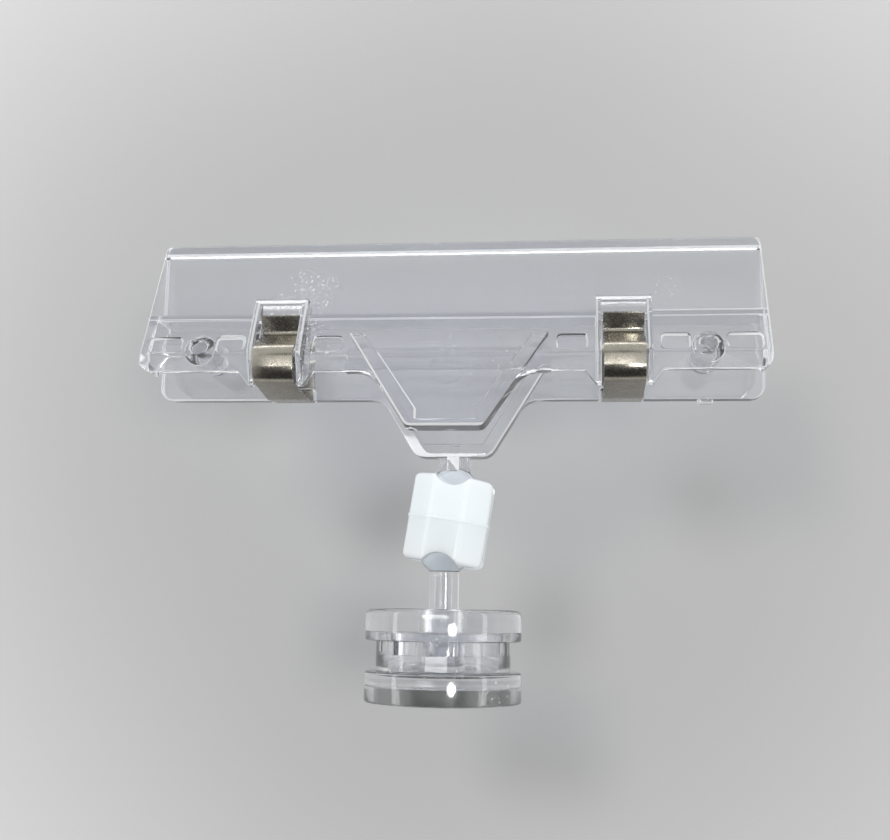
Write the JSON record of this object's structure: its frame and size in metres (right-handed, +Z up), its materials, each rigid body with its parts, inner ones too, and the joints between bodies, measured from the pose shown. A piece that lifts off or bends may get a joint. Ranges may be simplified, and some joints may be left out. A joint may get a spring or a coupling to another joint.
{
  "type": "magnetic sign holder clip",
  "caption": "Clear spring clip for signs and price cards, standing on a double ball joint over a round magnetic base.",
  "frame": {"origin": "centre of the magnet's lower face", "axes": "+Z up along the base's axis, +X along the clip's mouth to the right as seen from the front, -Y towards the front jaw"},
  "size_m": [0.1, 0.0297, 0.0755],
  "materials": {
    "clear_plastic": "clear glossy moulding",
    "white_plastic": "glossy, slightly translucent",
    "spring_steel": "satin nickel plate",
    "nickel_plate": "bright nickel plate"
  },
  "bodies": {
    "base": {"magnet": "nickel_plate", "base_cup": "clear_plastic", "base_cap": "clear_plastic"},
    "stud": {"ball_stud": "clear_plastic"},
    "connector": {"ball_connector": "white_plastic"},
    "back": {"back_jaw": "clear_plastic", "spring_left": "spring_steel", "spring_right": "spring_steel"},
    "front": {"front_jaw": "clear_plastic"}
  },
  "joints": [
    {"name": "swivel", "type": "hinge", "parent": "base", "child": "stud", "pos_m": [0, 0, 0.01], "axis": [0, 0, 1], "continuous": true},
    {"name": "lower_tilt", "type": "hinge", "parent": "stud", "child": "connector", "pos_m": [0, 0, 0.02425], "axis": [0, 1, 0], "range_deg": [-38.5, 21.5]},
    {"name": "upper_tilt", "type": "hinge", "parent": "connector", "child": "back", "pos_m": [0.00137, 0, 0.03345], "axis": [1, 0, 0], "range_deg": [-28, 28]},
    {"name": "jaw_open", "type": "hinge", "parent": "back", "child": "front", "pos_m": [0.00137, -0.0032, 0.05485], "axis": [1, 0, 0], "range_deg": [0, 20], "stiffness_Nm_per_rad": 0.4, "springref_deg": -17.19, "deforming": ["spring_left", "spring_right"]}
  ]
}
